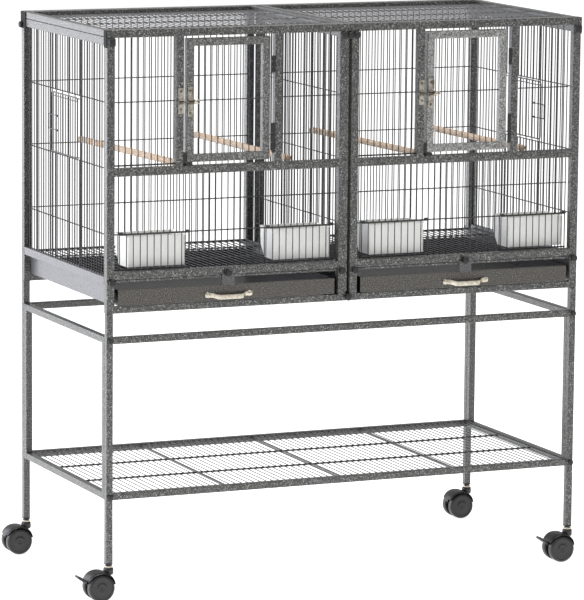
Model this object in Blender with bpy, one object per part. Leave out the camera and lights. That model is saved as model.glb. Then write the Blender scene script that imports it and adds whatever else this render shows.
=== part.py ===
"""Divided bird cage on a rolling stand. Blender 4.5, metres, +Z up, front towards -Y."""
import math

import bmesh
import bpy
import numpy as np

MM = 0.001

# The cage's outer sizes, in millimetres like every number below.
HALF_W = 475.0
HALF_D = 225.0
TOP = 1038.0

# The origin is the bottom middle of the overall box. The casters all trail to the left, so
# the cage's own middle lies this far from it.
CAGE_X, CAGE_Y = 26.3, 0.125

# Square tubes and the gap left between pieces that are bolted together.
TUBE = 15.0
GAP = 0.3

# Heights of the cage's rails.
BASE = 526.0
LOWER_TOP = 538.5
TRAY_LOW, TRAY_HIGH = 540.0, 569.0
GRILLE_LOW, GRILLE_HIGH = 582.3, 586.7
BOTTOM_LOW, BOTTOM_HIGH = 587.0, 601.0
MID_LOW, MID_HIGH = 774.0, 789.0
TOP_LOW = 1023.5

# How far in the left side panel's two ledges reach.
LEDGE = -455.2

# Each bay lies between an outer post and one of the twin centre posts.
SLOT = 4.25
CENTRE_POST = 15.0
BAY_IN = SLOT + CENTRE_POST
BAY_OUT = HALF_W - TUBE
BAY_MID = (BAY_IN + BAY_OUT) / 2
BAYS = {"left": -BAY_MID, "right": BAY_MID}

# Wires. The solid carries every third wire of the 12.5 mm pitch, and every second in front.
WIRE = 2.0
PITCH = 37.5
FRONT_PITCH = 25.0
CROSS_ZS = (667.0, 787.0, 906.0)
FRONT_CROSS_ZS = (667.0, 725.0, 906.0)
REAR_CROSS_LOW = 583.0

# The access door, from its bay's middle.
DOOR_HALF = 81.5
DOOR_LOW, DOOR_HIGH = 795.0, 1019.0
DOOR_TUBE = 14.0
JAMB_LEFT = (-101.0, -87.0)
JAMB_RIGHT = (91.5, 105.5)
HINGE_X, HINGE_Y = 87.0, -226.5
LATCH_Z = 905.0

# Feeder gates and cups, from the bay's middle: low x, high x.
GATES = ((-208.0, -70.0), (79.0, 216.0))
CUPS = ((-188.0, -74.0), (99.0, 214.0))
GATE_LOW, GATE_HIGH = 602.0, 668.5
CUP_LOW, CUP_HIGH = 606.0, 662.0
CUP_FRONT, CUP_BACK = -204.0, -138.0

# Perches: front x and rear x of each, from the bay's middle.
PERCHES = ((-95.0, -124.0), (127.0, 112.0))
PERCH_R, PERCH_Z = 6.0, 793.2

# The nest door in each side panel.
NEST_HALF = 70.0
NEST_LOW, NEST_HIGH = 789.6, 902.4

# The stand.
SHELF_LOW, SHELF_HIGH = 184.0, 196.5
STRETCH_LOW, STRETCH_HIGH = 470.5, 483.0
BAR = 12.5
LEG_LOW = 64.6

# Casters.
WHEEL_R = 25.0
WHEEL_TRAIL = 19.0
STEM_R = 5.0

FINISHES = {
    "hammertone": ((0.16, 0.16, 0.17, 1), 0.6, 0.35),
    "tray_brown": ((0.15, 0.14, 0.125, 1), 0.5, 0.4),
    "nickel": ((0.62, 0.57, 0.48, 1), 1.0, 0.3),
    "black_plastic": ((0.02, 0.02, 0.02, 1), 0.0, 0.4),
    "white_plastic": ((0.86, 0.86, 0.83, 1), 0.0, 0.45),
    "wood": ((0.72, 0.52, 0.34, 1), 0.0, 0.6),
}


def clear_scene():
    for old in list(bpy.data.objects):
        bpy.data.objects.remove(old, do_unlink=True)


def finish(name, kind):
    colour, metal, rough = FINISHES[kind]
    made = bpy.data.materials.new(name)
    made.use_nodes = True
    shader = made.node_tree.nodes["Principled BSDF"]
    shader.inputs["Base Color"].default_value = colour
    shader.inputs["Metallic"].default_value = metal
    shader.inputs["Roughness"].default_value = rough
    return made


def add(name, points, faces, kind, origin=(0.0, 0.0, 0.0)):
    """A node from points in the cage's own millimetres, with its origin at the given point."""
    mesh = bpy.data.meshes.new(name)
    local = [tuple((p[i] - origin[i]) * MM for i in range(3)) for p in points]
    mesh.from_pydata(local, [], faces)
    work = bmesh.new()
    work.from_mesh(mesh)
    bmesh.ops.recalc_face_normals(work, faces=work.faces)
    work.to_mesh(mesh)
    work.free()
    node = bpy.data.objects.new(name, mesh)
    node.location = tuple((v + s) * MM for v, s in zip(origin, (CAGE_X, CAGE_Y, 0.0)))
    node.data.materials.append(finish(name, kind))
    bpy.context.scene.collection.objects.link(node)
    return node


def union_of(boxes):
    """Points and faces of the union of boxes (x0, x1, y0, y1, z0, z1), with no inner faces."""
    cuts = []
    for axis in range(3):
        ends = {round(b[2 * axis + side], 4) for b in boxes for side in (0, 1)}
        cuts.append(sorted(ends))
    place = [{v: i for i, v in enumerate(line)} for line in cuts]
    solid = np.zeros([len(line) + 1 for line in cuts], bool)
    for b in boxes:
        low = [place[a][round(b[2 * a], 4)] + 1 for a in range(3)]
        high = [place[a][round(b[2 * a + 1], 4)] + 1 for a in range(3)]
        solid[low[0]:high[0], low[1]:high[1], low[2]:high[2]] = True
    index = {}
    points = []
    faces = []

    def corner(key):
        if key not in index:
            index[key] = len(points)
            points.append(tuple(cuts[a][key[a]] for a in range(3)))
        return index[key]

    for axis in range(3):
        u, v = (axis + 1) % 3, (axis + 2) % 3
        near = np.swapaxes(solid, 0, axis)[:-1]
        far = np.swapaxes(solid, 0, axis)[1:]
        edge = np.argwhere(np.swapaxes(near != far, 0, axis))
        for cell in edge:
            ring = []
            for du, dv in ((0, 0), (1, 0), (1, 1), (0, 1)):
                key = [0, 0, 0]
                key[axis] = int(cell[axis])
                key[u] = int(cell[u]) - 1 + du
                key[v] = int(cell[v]) - 1 + dv
                ring.append(corner(tuple(key)))
            faces.append(ring)
    return points, faces


def boxes_node(name, boxes, kind, origin=(0.0, 0.0, 0.0)):
    points, faces = union_of(boxes)
    return add(name, points, faces, kind, origin)


def swap_x(boxes):
    return [(-b[1], -b[0]) + tuple(b[2:]) for b in boxes]


def turn_half(boxes):
    """The boxes turned half a turn about the vertical axis through the origin."""
    return [(-b[1], -b[0], -b[3], -b[2], b[4], b[5]) for b in boxes]


def shift_x(boxes, by):
    return [(b[0] + by, b[1] + by) + tuple(b[2:]) for b in boxes]


def spread(low, high, pitch=PITCH):
    """Middles of evenly spaced wires between low and high, at about the pitch."""
    gaps = max(2, round((high - low) / pitch))
    return [low + (high - low) * i / gaps for i in range(1, gaps)]


def rod(start, end, radius, sides=12):
    """Points and faces of a straight round bar."""
    a = np.array(start, float)
    b = np.array(end, float)
    along = (b - a) / np.linalg.norm(b - a)
    side = np.cross(along, (0.0, 0.0, 1.0))
    if np.linalg.norm(side) < 0.1:
        side = np.cross(along, (0.0, 1.0, 0.0))
    side /= np.linalg.norm(side)
    other = np.cross(along, side)
    points = []
    for centre in (a, b):
        for i in range(sides):
            turn = 2 * math.pi * i / sides
            p = centre + radius * (math.cos(turn) * side + math.sin(turn) * other)
            points.append(tuple(p))
    faces = [list(range(sides)), list(range(2 * sides - 1, sides - 1, -1))]
    for i in range(sides):
        j = (i + 1) % sides
        faces.append([i, j, sides + j, sides + i])
    return points, faces


def stacked(rings):
    """A closed skin over rings that each hold the same number of points."""
    count = len(rings[0])
    points = [p for ring in rings for p in ring]
    faces = [list(range(count))]
    for r in range(len(rings) - 1):
        for i in range(count):
            j = (i + 1) % count
            a = r * count
            faces.append([a + i, a + j, a + count + j, a + count + i])
    faces.append(list(range((len(rings) - 1) * count, len(rings) * count)))
    return points, faces


def circle(centre, radius, y, sides=20):
    """A ring of points around an axis that runs along Y."""
    ring = []
    for i in range(sides):
        turn = 2 * math.pi * i / sides
        x = centre[0] + radius * math.cos(turn)
        z = centre[1] + radius * math.sin(turn)
        ring.append((x, y, z))
    return ring


def front_frame():
    y0, y1 = -HALF_D, -HALF_D + TUBE
    boxes = [
        (-HALF_W, HALF_W, y0, y1, TOP_LOW, TOP),
        (-HALF_W, HALF_W, y0, y1, BASE, LOWER_TOP),
    ]
    for side in (-1, 1):
        outer = sorted((side * BAY_OUT, side * HALF_W))
        inner = sorted((side * SLOT, side * BAY_IN))
        bay = sorted((side * BAY_IN, side * BAY_OUT))
        boxes.append((outer[0], outer[1], y0, y1, BASE, TOP))
        boxes.append((inner[0], inner[1], y0, y1, BASE, TOP))
        boxes.append((bay[0], bay[1], y0, y1, MID_LOW, MID_HIGH))
        boxes.append((bay[0], bay[1], y0, y1, BOTTOM_LOW, BOTTOM_HIGH))
    for middle in BAYS.values():
        for low, high in (JAMB_LEFT, JAMB_RIGHT):
            boxes.append((middle + low, middle + high, y0, y1, MID_HIGH, TOP_LOW))
    boxes_node("front_frame", boxes, "hammertone")


def front_wires(bay):
    """One bay's front wires, behind the tubes, with openings for the door and the gates."""
    middle = BAYS[bay]
    y0 = -HALF_D + TUBE + GAP
    y1 = y0 + WIRE
    low, high = BOTTOM_LOW + 2, TOP_LOW + 1
    left, right = middle - 220.0, middle + 220.0
    door = (middle + JAMB_LEFT[1] - 4, middle + JAMB_RIGHT[0] + 4)
    openings = [(middle + a, middle + b) for a, b in GATES]
    boxes = []
    for x in spread(left, right, FRONT_PITCH):
        bottom, top = low, high
        if door[0] < x < door[1]:
            top = MID_LOW + 8
        for a, b in openings:
            if a - 1 < x < b + 1:
                bottom = CROSS_ZS[0] - 1
        boxes.append((x - 1, x + 1, y0, y1, bottom, top))
    for edge in sorted([e for gate in openings for e in gate]):
        boxes.append((edge - 1, edge + 1, y0, y1, low, CROSS_ZS[0] + 1))
    for edge in door:
        boxes.append((edge - 1, edge + 1, y0, y1, MID_LOW + 6, high))
    for z in FRONT_CROSS_ZS[:2] + (MID_LOW + 7,):
        boxes.append((left, right, y0, y1, z - 1, z + 1))
    boxes.append((left, door[0], y0, y1, 905.0, 907.0))
    boxes.append((door[1], right, y0, y1, 905.0, 907.0))
    for a, b in ((left, openings[0][0]), (openings[0][1], openings[1][0])):
        boxes.append((a, b + 1, y0, y1, low, low + 2))
    boxes.append((openings[1][1] - 1, right, y0, y1, low, low + 2))
    boxes_node("front_wires_" + bay, boxes, "hammertone")


def rear_panel():
    y0, y1 = HALF_D - TUBE, HALF_D
    wire0 = y0 + 1.0
    boxes = [
        (-HALF_W, HALF_W, y0, y1, TOP_LOW, TOP),
        (-HALF_W, HALF_W, y0, y1, BASE, LOWER_TOP),
    ]
    for side in (-1, 1):
        outer = sorted((side * BAY_OUT, side * HALF_W))
        inner = sorted((side * SLOT, side * BAY_IN))
        bay = sorted((side * BAY_IN, side * BAY_OUT))
        boxes.append((outer[0], outer[1], y0, y1, BASE, TOP))
        boxes.append((inner[0], inner[1], y0, y1, LOWER_TOP, TOP_LOW))
        for x in spread(bay[0], bay[1]):
            boxes.append((x - 1, x + 1, wire0, wire0 + WIRE, LOWER_TOP, TOP_LOW))
        for z in (REAR_CROSS_LOW,) + CROSS_ZS:
            boxes.append((bay[0], bay[1], wire0, wire0 + WIRE, z - 1, z + 1))
    boxes_node("rear_panel", boxes, "hammertone")


def side_panels():
    """Rails, wires, a skirt set inwards and two ledges that carry the tray and the grille."""
    x0, x1 = -HALF_W, -HALF_W + 12
    y0, y1 = -HALF_D + TUBE + GAP, HALF_D - TUBE - GAP
    wire0 = x0 + 5.0
    boxes = [
        (x0, x1, y0, y1, 1009.5, 1024.7),
        (x0, x1, y0, y1, 577.0, 592.0),
        (x0 + 1.0, x0 + 15.0, y0, y1, 577.0, 578.5),
        (x0 + 13.5, x0 + 15.0, y0, y1, 540.0, 577.5),
        (x0 + 13.5, LEDGE, y0, y1, 558.4, 560.2),
        (x0 + 1.0, LEDGE, y0, y1, 580.0, 581.9),
    ]
    for y in spread(y0 + 1, y1 - 1):
        if abs(y) > NEST_HALF + 3:
            boxes.append((wire0, wire0 + WIRE, y - 1, y + 1, 592.0, 1009.5))
        else:
            boxes.append((wire0, wire0 + WIRE, y - 1, y + 1, 592.0, CROSS_ZS[1] + 1))
            boxes.append((wire0, wire0 + WIRE, y - 1, y + 1, CROSS_ZS[2] - 1, 1009.5))
    for y in (y0 + 1, -NEST_HALF - 4, NEST_HALF + 4, y1 - 1):
        boxes.append((wire0, wire0 + WIRE, y - 1, y + 1, 592.0, 1009.5))
    for z in CROSS_ZS:
        boxes.append((wire0, wire0 + WIRE, y0, y1, z - 1, z + 1))
    boxes_node("side_panel_left", boxes, "hammertone")
    boxes_node("side_panel_right", turn_half(boxes), "hammertone")


def nest_doors():
    """A framed wire door outside the opening of each side panel, hinged on one upright."""
    x0, x1 = -474.0, -471.4
    frame = 2.6
    low, high = NEST_LOW, NEST_HIGH
    boxes = [
        (x0, x1, -NEST_HALF, NEST_HALF, low, low + frame),
        (x0, x1, -NEST_HALF, NEST_HALF, high - frame, high),
        (x0, x1, -NEST_HALF, -NEST_HALF + frame, low, high),
        (x0, x1, NEST_HALF - frame, NEST_HALF, low, high),
        (x0, x1, 34.0, 84.0, 830.0, 832.6),
        (x0, x1, 34.0, 84.0, 857.0, 859.6),
        (x0, x1, 81.4, 84.0, 830.0, 859.6),
    ]
    for y in spread(-NEST_HALF, NEST_HALF, FRONT_PITCH):
        boxes.append((x0 + 0.3, x1 - 0.3, y - 1, y + 1, low, high))
    hinge = (-473.0, -NEST_HALF - 2, (low + high) / 2)
    boxes_node("nest_door_left", boxes, "hammertone", hinge)
    hinge = (473.0, NEST_HALF + 2, (low + high) / 2)
    boxes_node("nest_door_right", turn_half(boxes), "hammertone", hinge)


def roofs():
    y0, y1 = -HALF_D + TUBE + GAP, HALF_D - TUBE - GAP
    z0, z1 = 1025.0, 1037.6
    wire0 = 1029.0
    left, right = -HALF_W, -SLOT
    boxes = [
        (left, left + 12, y0, y1, z0, z1),
        (right - 12, right, y0, y1, z0, z1),
        (left, right, y0, y0 + 6, z0, z1),
        (left, right, y1 - 6, y1, z0, z1),
    ]
    for x in spread(left + 12, right - 12):
        boxes.append((x - 1, x + 1, y0, y1, wire0, wire0 + WIRE))
    for y in (-108.0, 0.0, 108.0):
        boxes.append((left, right, y - 1, y + 1, wire0, wire0 + WIRE))
    boxes_node("roof_left", boxes, "hammertone")
    boxes_node("roof_right", swap_x(boxes), "hammertone")


def divider():
    x0, x1 = -3.0, 3.0
    y0, y1 = -216.0, 209.0
    z0, z1 = 541.5, 1022.0
    boxes = [
        (x0, x1, y0, y1, z0, z0 + 12),
        (x0, x1, y0, y1, z1 - 12, z1),
        (x0, x1, y0, y0 + 10, z0, z1),
        (x0, x1, y1 - 10, y1, z0, z1),
    ]
    for y in spread(y0 + 10, y1 - 10):
        boxes.append((-1.0, 1.0, y - 1, y + 1, z0, z1))
    for z in CROSS_ZS:
        boxes.append((-1.0, 1.0, y0, y1, z - 1, z + 1))
    boxes_node("divider", boxes, "hammertone")


def centre_runner():
    """Folded sheet between the bays: ledges for both trays and both grilles, with a slot."""
    y0, y1 = -HALF_D + TUBE + GAP, HALF_D - TUBE - GAP
    boxes = [(-40.0, 40.0, y0, y1, 537.5, 539.3)]
    for side in (-1, 1):
        web = sorted((side * 5.5, side * 7.0))
        shelf = sorted((side * 5.5, side * 36.0))
        boxes.append((web[0], web[1], y0, y1, 537.5, 581.9))
        boxes.append((shelf[0], shelf[1], y0, y1, 580.0, 581.9))
    boxes_node("centre_runner", boxes, "hammertone")


def floor_grille(bay):
    middle = BAYS[bay]
    z0, z1 = GRILLE_LOW, GRILLE_HIGH
    half = 218.5
    y0, y1 = -HALF_D + 0.5, 205.0
    wire0 = z0 + 1.2
    boxes = [
        (-half, half, y0, y0 + 5, z0, z1),
        (-half, half, y1 - 4, y1, z0, z1),
        (-half, -half + 4, y0, y1, z0, z1),
        (half - 4, half, y0, y1, z0, z1),
        (-12.0, 13.0, -227.2, y0 + 5, z0, z0 + 2),
        (-12.0, 13.0, -227.2, -225.6, 568.0, 597.0),
        (-5.0, 5.0, -233.0, -227.2, 585.0, 595.0),
    ]
    for x in spread(-half + 4, half - 4):
        boxes.append((x - 1, x + 1, y0, y1, wire0, wire0 + WIRE))
    for y in (-120.0, 0.0, 120.0):
        boxes.append((-half, half, y - 1.5, y + 1.5, z0, wire0 + 1))
    boxes_node("floor_grille_" + bay, shift_x(boxes, middle), "hammertone")


def tray(bay):
    middle = BAYS[bay]
    half = 213.5
    y0, y1 = -HALF_D + 0.8, 204.0
    z0 = TRAY_LOW
    boxes = [
        (-half, half, y0, y0 + 1.5, z0, TRAY_HIGH),
        (-half, half, y0, y1, z0, z0 + 1.5),
        (-half, half, y1 - 1.5, y1, z0, TRAY_HIGH),
        (-half, -half + 1.5, y0, y1, z0, TRAY_HIGH),
        (half - 1.5, half, y0, y1, z0, TRAY_HIGH),
    ]
    lip = (-half - 4.8, -half + 1, y0 + 18, y1, 560.5, 562.0)
    boxes += [lip] if bay == "left" else swap_x([lip])
    boxes_node("tray_" + bay, shift_x(boxes, middle), "tray_brown")


def tray_handle(bay):
    """An arched flat pull with a round screw boss at each end, just clear of the tray face."""
    middle = BAYS[bay] + 2.0
    back = -HALF_D + 0.5
    path = [(-46.0, 0.0), (-33.0, 0.0), (-25.0, 11.0), (25.0, 11.0), (33.0, 0.0), (46.0, 0.0)]
    rings = []
    for i, (x, out) in enumerate(path):
        half = 5.0 if i in (0, 1, 4, 5) else 4.2
        z = 551.0 if i in (0, 1, 4, 5) else 547.5
        ring = [
            (middle + x, back - out, z - half),
            (middle + x, back - out - 2.2, z - half),
            (middle + x, back - out - 2.2, z + half),
            (middle + x, back - out, z + half),
        ]
        rings.append(ring)
    points, faces = stacked(rings)
    add("tray_handle_" + bay, points, faces, "nickel")


def door(bay):
    middle = BAYS[bay]
    y0 = -HALF_D
    y1 = y0 + DOOR_TUBE
    wire0 = y0 + 6.0
    half, t = DOOR_HALF, DOOR_TUBE
    boxes = [
        (-half, half, y0, y1, DOOR_LOW, DOOR_LOW + t),
        (-half, half, y0, y1, DOOR_HIGH - t, DOOR_HIGH),
        (-half, -half + t, y0, y1, DOOR_LOW, DOOR_HIGH),
        (half - t, half, y0, y1, DOOR_LOW, DOOR_HIGH),
        (-half, half, wire0, wire0 + WIRE, 905.0, 907.0),
    ]
    for x in spread(-half + t, half - t, FRONT_PITCH):
        boxes.append((x - 1, x + 1, wire0, wire0 + WIRE, DOOR_LOW, DOOR_HIGH))
    hinge = (middle + HINGE_X, HINGE_Y, (DOOR_LOW + DOOR_HIGH) / 2)
    boxes_node("door_" + bay, shift_x(boxes, middle), "hammertone", hinge)


def door_hinge(bay):
    """Two barrels on one thin pin, in the gap between the door and its jamb."""
    x = BAYS[bay] + HINGE_X
    rings = []
    for z, radius in (
        (806.0, 3.3), (862.0, 3.3), (862.0, 1.2), (952.0, 1.2), (952.0, 3.3), (984.0, 3.3),
    ):
        ring = []
        for i in range(8):
            turn = 2 * math.pi * i / 8
            ring.append((x + radius * math.cos(turn), HINGE_Y + radius * math.sin(turn), z))
        rings.append(ring)
    points, faces = stacked(rings)
    add("door_hinge_" + bay, points, faces, "black_plastic")


def door_latch(bay):
    """Back plate with an upper and a lower guide lip on the door's free upright."""
    middle = BAYS[bay]
    boxes = [
        (-80.5, -68.5, -226.8, -225.3, 878.0, 932.0),
        (-80.5, -68.5, -232.6, -225.3, 908.4, 910.4),
        (-80.5, -68.5, -232.6, -225.3, 899.6, 901.6),
    ]
    boxes_node("door_latch_" + bay, shift_x(boxes, middle), "nickel")


def door_bolt(bay):
    """Sliding bolt: a bar across the gap, with a thumb knob pointing forward."""
    middle = BAYS[bay]
    z = LATCH_Z
    boxes = [
        (-97.0, -59.0, -231.6, -227.4, z - 2.2, z + 2.2),
        (-72.5, -65.5, -240.0, -227.4, z - 2.9, z + 2.9),
    ]
    boxes_node("door_bolt_" + bay, shift_x(boxes, middle), "nickel", (middle, -229.5, z))


def latch_keeper(bay):
    """Plate on the jamb with two lips, open to the front."""
    middle = BAYS[bay]
    boxes = [
        (-100.0, -88.0, -226.8, -225.3, 886.0, 930.0),
        (-100.0, -88.0, -232.0, -225.3, 908.4, 910.4),
        (-100.0, -88.0, -232.0, -225.3, 899.6, 901.6),
    ]
    boxes_node("latch_keeper_" + bay, shift_x(boxes, middle), "nickel")


def feeder(name, low, high):
    """Open cup with a flared rim. Its back slopes in towards the floor."""
    boxes = [
        (low, high, CUP_FRONT, CUP_FRONT + 2.0, CUP_LOW, CUP_HIGH),
        (low, high, CUP_FRONT, CUP_BACK - 14, CUP_LOW, CUP_LOW + 2.0),
        (low, high, CUP_BACK - 16, CUP_BACK - 14, CUP_LOW, 625.0),
        (low, high, CUP_BACK - 16, CUP_BACK, 623.0, 625.0),
        (low, high, CUP_BACK - 2, CUP_BACK, 623.0, CUP_HIGH),
        (low, low + 2.0, CUP_FRONT, CUP_BACK - 14, CUP_LOW, CUP_HIGH),
        (high - 2.0, high, CUP_FRONT, CUP_BACK - 14, CUP_LOW, CUP_HIGH),
        (low, low + 2.0, CUP_FRONT, CUP_BACK, 623.0, CUP_HIGH),
        (high - 2.0, high, CUP_FRONT, CUP_BACK, 623.0, CUP_HIGH),
        (low - 2.0, high + 2.0, CUP_BACK - 2, CUP_BACK + 2, CUP_HIGH - 3, CUP_HIGH),
        (low - 2.0, low + 2.0, CUP_FRONT, CUP_BACK, CUP_HIGH - 3, CUP_HIGH),
        (high - 2.0, high + 2.0, CUP_FRONT, CUP_BACK, CUP_HIGH - 3, CUP_HIGH),
    ]
    boxes_node(name, boxes, "white_plastic")


def feeder_gate(name, low, high):
    """Wire gate in front of a feeder opening, with a thick top and bottom rod."""
    y0, y1 = -213.4, -210.2
    boxes = [
        (low, high, y0, y1, GATE_HIGH - 3.2, GATE_HIGH),
        (low, high, y0, y1, GATE_LOW, GATE_LOW + 3.0),
    ]
    count = round((high - low) / 14.0)
    for i in range(0, count + 1, 2):
        x = low + 1.5 + (high - low - 3.0) * i / count
        boxes.append((x - 1, x + 1, y0 + 0.6, y1 - 0.6, GATE_LOW, GATE_HIGH))
    for x0, x1 in ((low, low + 9), (high - 9, high)):
        boxes.append((x0, x1, y0, y1, GATE_HIGH - 1, GATE_HIGH + 3))
    boxes_node(name, boxes, "hammertone")


def perch(name, front, rear):
    points, faces = rod((front, -206.0, PERCH_Z), (rear, 206.0, PERCH_Z), PERCH_R)
    add(name, points, faces, "wood")


def corners():
    for front in (True, False):
        for side, word in ((-1, "left"), (1, "right")):
            yield ("front" if front else "rear") + "_" + word, side, -1 if front else 1


def legs():
    for name, sx, sy in corners():
        x = sorted((sx * HALF_W, sx * (HALF_W - BAR)))
        y = sorted((sy * HALF_D, sy * (HALF_D - BAR)))
        box = (x[0], x[1], y[0], y[1], LEG_LOW + GAP, BASE - GAP)
        boxes_node("leg_" + name, [box], "hammertone")


def side_frames():
    x0, x1 = -HALF_W, -HALF_W + BAR
    y0, y1 = -HALF_D + BAR + GAP, HALF_D - BAR - GAP
    boxes = [
        (x0, x1, y0, y0 + BAR, SHELF_LOW, STRETCH_HIGH),
        (x0, x1, y1 - BAR, y1, SHELF_LOW, STRETCH_HIGH),
        (x0, x1, y0, y1, SHELF_LOW, SHELF_HIGH),
        (x0, x1, y0, y1, STRETCH_LOW, STRETCH_HIGH),
    ]
    boxes_node("side_frame_left", boxes, "hammertone")
    boxes_node("side_frame_right", swap_x(boxes), "hammertone")


def stretchers():
    x = HALF_W - BAR - GAP
    y0 = -HALF_D
    front = (-x, x, y0, y0 + BAR, STRETCH_LOW, STRETCH_HIGH)
    rear = (-x, x, -y0 - BAR, -y0, STRETCH_LOW, STRETCH_HIGH)
    boxes_node("front_stretcher", [front], "hammertone")
    boxes_node("rear_stretcher", [rear], "hammertone")


def shelf():
    """Front and rear rails, thick bars, and close wires welded across two long ones."""
    half = HALF_W - BAR - GAP
    y0 = -HALF_D
    z0, z1 = SHELF_LOW, SHELF_HIGH
    wire0 = z1 - 4.0
    boxes = [
        (-half, half, y0, y0 + BAR, z0, z1),
        (-half, half, -y0 - BAR, -y0, z0, z1),
    ]
    for x in (-232.5, 0.0, 232.5):
        boxes.append((x - 2, x + 2, y0, -y0, z1 - 8, z1 - 3))
    for x in (-half + 1.5, half - 1.5):
        boxes.append((x - 1.5, x + 1.5, y0, -y0, wire0, wire0 + WIRE))
    for x in spread(-half, half):
        boxes.append((x - 1, x + 1, y0, -y0, wire0, wire0 + WIRE))
    for y in (-70.0, 70.0):
        boxes.append((-half, half, y - 1.5, y + 1.5, wire0 - 2, wire0 + 1))
    boxes_node("shelf", boxes, "hammertone")


def caster_wheel(name, x, y):
    """Two discs on one axle."""
    centre = (x - WHEEL_TRAIL, WHEEL_R)
    rings = []
    for dy, radius in (
        (-21.0, WHEEL_R), (-6.5, WHEEL_R), (-6.5, 3.6),
        (6.5, 3.6), (6.5, WHEEL_R), (21.0, WHEEL_R),
    ):
        rings.append(circle(centre, radius, y + dy))
    points, faces = stacked(rings)
    origin = (centre[0], y, centre[1])
    add("caster_wheel_" + name, points, faces, "black_plastic", origin)


def arc(centre, radius, start, stop, steps):
    made = []
    for i in range(steps + 1):
        turn = math.radians(start + (stop - start) * i / steps)
        made.append((centre[0] + radius * math.cos(turn), centre[1] + radius * math.sin(turn)))
    return made


def caster_body(name, x, y):
    """Web between the discs, open below for the axle, with a collar up to the leg."""
    centre = (x - WHEEL_TRAIL, WHEEL_R)
    cx, cz = centre
    profile = arc(centre, 27.5, 5.0, 160.0, 12)
    profile += [
        (cx - 16.0, cz - 2.0), (cx - 4.2, cz - 2.0), (cx - 4.2, cz + 4.2),
        (cx + 4.2, cz + 4.2), (cx + 4.2, cz - 2.0), (cx + 20.0, cz - 2.0),
    ]
    rings = [[(px, y + dy, pz) for px, pz in profile] for dy in (-5.6, 5.6)]
    points, faces = stacked(rings)
    body = add("caster_body_" + name, points, faces, "black_plastic", (x, y, 55.0))
    collar = [[], [], []]
    for i in range(12):
        turn = 2 * math.pi * i / 12
        c, s = math.cos(turn), math.sin(turn)
        collar[0].append((x + 7.2 * c, y + 7.2 * s, 45.2))
        collar[1].append((x + 7.2 * c, y + 7.2 * s, 60.0))
        collar[2].append((x + 5.2 * c, y + 5.2 * s, LEG_LOW))
    join = bpy.data.objects.new("collar_" + name, bpy.data.meshes.new("collar_" + name))
    join.location = (CAGE_X * MM, CAGE_Y * MM, 0.0)
    points, faces = stacked(collar)
    join.data.from_pydata([tuple(v * MM for v in p) for p in points], [], faces)
    work = bmesh.new()
    work.from_mesh(join.data)
    bmesh.ops.recalc_face_normals(work, faces=work.faces)
    work.to_mesh(join.data)
    work.free()
    join.hide_render = True
    join.display_type = "WIRE"
    bpy.context.scene.collection.objects.link(join)
    union = body.modifiers.new("collar", "BOOLEAN")
    union.operation = "UNION"
    union.solver = "EXACT"
    union.object = join


def brake_lever(name, x, y):
    """Pedal behind the hood, pointing away from the stem and up."""
    cx = x - WHEEL_TRAIL
    profile = [(-28.3, 38.0), (-31.0, 36.0), (-42.0, 44.0), (-42.0, 47.5), (-30.0, 42.5)]
    rings = [[(cx + px, y + dy, pz) for px, pz in profile] for dy in (-10.0, 10.0)]
    points, faces = stacked(rings)
    origin = (cx - 29.5, y, 39.0)
    add("brake_lever_" + name, points, faces, "black_plastic", origin)


def main():
    clear_scene()
    front_frame()
    rear_panel()
    side_panels()
    nest_doors()
    roofs()
    divider()
    centre_runner()
    for bay, middle in BAYS.items():
        front_wires(bay)
        floor_grille(bay)
        tray(bay)
        tray_handle(bay)
        door(bay)
        door_hinge(bay)
        door_latch(bay)
        door_bolt(bay)
        latch_keeper(bay)
        for word, gate, cup, (front, rear) in zip(("a", "b"), GATES, CUPS, PERCHES):
            feeder_gate(f"feeder_gate_{bay}_{word}", middle + gate[0], middle + gate[1])
            feeder(f"feeder_{bay}_{word}", middle + cup[0], middle + cup[1])
            perch(f"perch_{bay}_{word}", middle + front, middle + rear)
    legs()
    side_frames()
    stretchers()
    shelf()
    for name, sx, sy in corners():
        x = sx * (HALF_W - BAR / 2)
        y = sy * (HALF_D - BAR / 2)
        caster_wheel(name, x, y)
        caster_body(name, x, y)
        if sy < 0:
            brake_lever(name, x, y)


main()
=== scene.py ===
"""Looks for the divided bird cage on a rolling stand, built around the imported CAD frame."""

import math

import bmesh
import bpy
import numpy as np
from mathutils import Matrix, Vector


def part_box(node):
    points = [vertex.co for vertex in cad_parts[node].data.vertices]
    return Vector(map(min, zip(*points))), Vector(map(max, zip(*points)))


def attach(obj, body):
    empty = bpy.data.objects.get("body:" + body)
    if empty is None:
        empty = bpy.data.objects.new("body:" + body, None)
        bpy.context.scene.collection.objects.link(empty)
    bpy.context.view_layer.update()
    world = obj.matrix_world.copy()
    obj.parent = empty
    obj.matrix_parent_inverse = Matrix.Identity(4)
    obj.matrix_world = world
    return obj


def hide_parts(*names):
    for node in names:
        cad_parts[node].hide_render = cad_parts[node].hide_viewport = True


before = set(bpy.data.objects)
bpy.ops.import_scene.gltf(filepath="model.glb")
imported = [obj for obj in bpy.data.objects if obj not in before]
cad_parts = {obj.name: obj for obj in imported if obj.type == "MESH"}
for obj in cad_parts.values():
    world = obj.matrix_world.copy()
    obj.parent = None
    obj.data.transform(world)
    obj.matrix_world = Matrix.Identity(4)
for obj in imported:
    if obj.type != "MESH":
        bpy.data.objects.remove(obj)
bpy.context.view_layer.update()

MM = 0.001
HALF_W, HALF_D, TOP = 475.0, 225.0, 1038.0

# The cage's own middle, read from the frame. Every length below is in millimetres from
# there, as in the CAD: x to the right, y to the rear, z up from the floor.
_low, _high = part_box("front_frame")
CAGE_X = (_low.x + _high.x) / 2 / MM
CAGE_Y = _low.y / MM + HALF_D

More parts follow.
